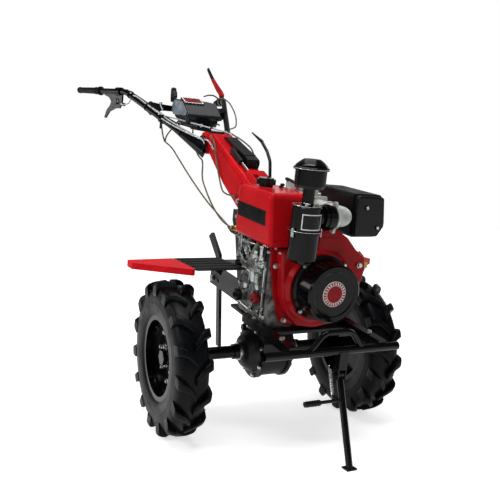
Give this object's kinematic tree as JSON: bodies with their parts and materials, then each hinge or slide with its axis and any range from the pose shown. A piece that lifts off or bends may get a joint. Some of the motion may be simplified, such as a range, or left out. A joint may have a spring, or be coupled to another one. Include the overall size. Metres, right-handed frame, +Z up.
{
  "type": "power weeder",
  "caption": "Walk-behind diesel power weeder with lug-tyred wheels, a red engine cowl and tank, flared handlebars, step platforms, a rear drag stake and a folding front stand.",
  "frame": {"origin": "on the floor, under the middle of the parked machine", "axes": "+X forward, +Y to the machine's left, +Z up"},
  "size_m": [1.8208, 0.91, 1.4399],
  "materials": {
    "tyre": "moulded rubber with deep lugs",
    "black_steel": "satin black paint on steel",
    "black_casting": "black painted casting",
    "zinc_steel": "zinc plated steel",
    "cast_aluminium": "sand-cast aluminium",
    "red_paint": "glossy red paint",
    "black_paint": "gloss black paint",
    "black_plastic": "moulded black plastic",
    "black_rubber": "moulded rubber",
    "chrome": "polished chrome",
    "cable_sheath": "olive grey cable sheath"
  },
  "bodies": {
    "chassis": {"air_filter": "black_paint", "aux_shift_lever": "black_plastic", "base_rail_left": "black_steel", "base_rail_right": "black_steel", "bumper_crossbar": "black_steel", "bumper_hoop": "black_steel", "cable_guard": "black_plastic", "clutch_housing": "black_casting", "clutch_lever": "red_paint", "column_cap": "red_paint", "console": "black_plastic", "console_bracket": "black_steel", "control_cables": "cable_sheath", "crankcase": "cast_aluminium", "cylinder_head": "cast_aluminium", "depth_stake": "black_steel", "engine_base": "black_steel", "fender_left": "red_paint", "fender_right": "red_paint", "flywheel_shroud": "red_paint", "fuel_cap": "black_plastic", "fuel_lines": "black_rubber", "fuel_tank": "red_paint", "gear_gate": "red_paint", "gearbox_housing": "black_casting", "governor_lever": "zinc_steel", "grip_left": "black_rubber", "grip_right": "black_rubber", "handle_column": "red_paint", "handlebar_left": "black_steel", "handlebar_right": "black_steel", "hitch_bracket": "black_steel", "injection_pump": "zinc_steel", "intake_elbow": "cast_aluminium", "muffler": "black_paint", "platform_bracket_left": "black_steel", "platform_bracket_right": "black_steel", "platform_left": "black_paint", "platform_right": "black_paint", "pre_cleaner": "black_plastic", "recoil_starter": "black_paint", "rocker_cover": "cast_aluminium", "rod_sleeve": "black_plastic", "seal_rings": "zinc_steel", "selector_rod": "chrome", "shift_lever": "black_plastic", "squeeze_lever": "black_steel", "stake_clamp": "zinc_steel", "stand_post": "black_steel"},
    "wheel_right": {"tyre_right": "tyre", "rim_right": "black_steel", "axle_sleeve_right": "black_steel"},
    "wheel_left": {"tyre_left": "tyre", "rim_left": "black_steel", "axle_sleeve_left": "black_steel"},
    "stand": {"stand_leg": "black_steel", "stand_pedal": "black_steel", "stand_spring": "zinc_steel"}
  },
  "joints": [
    {"name": "wheel_right_spin", "type": "hinge", "parent": "chassis", "child": "wheel_right", "pos_m": [0.42735, -0.3405, 0.246], "axis": [0, 1, 0], "continuous": true},
    {"name": "wheel_left_spin", "type": "hinge", "parent": "chassis", "child": "wheel_left", "pos_m": [0.42735, 0.3405, 0.246], "axis": [0, 1, 0], "continuous": true},
    {"name": "stand_fold", "type": "hinge", "parent": "chassis", "child": "stand", "pos_m": [0.83244, 0.028, 0.25527], "axis": [0, 1, 0], "range_deg": [0, 85], "deforming": ["stand_spring"]}
  ]
}
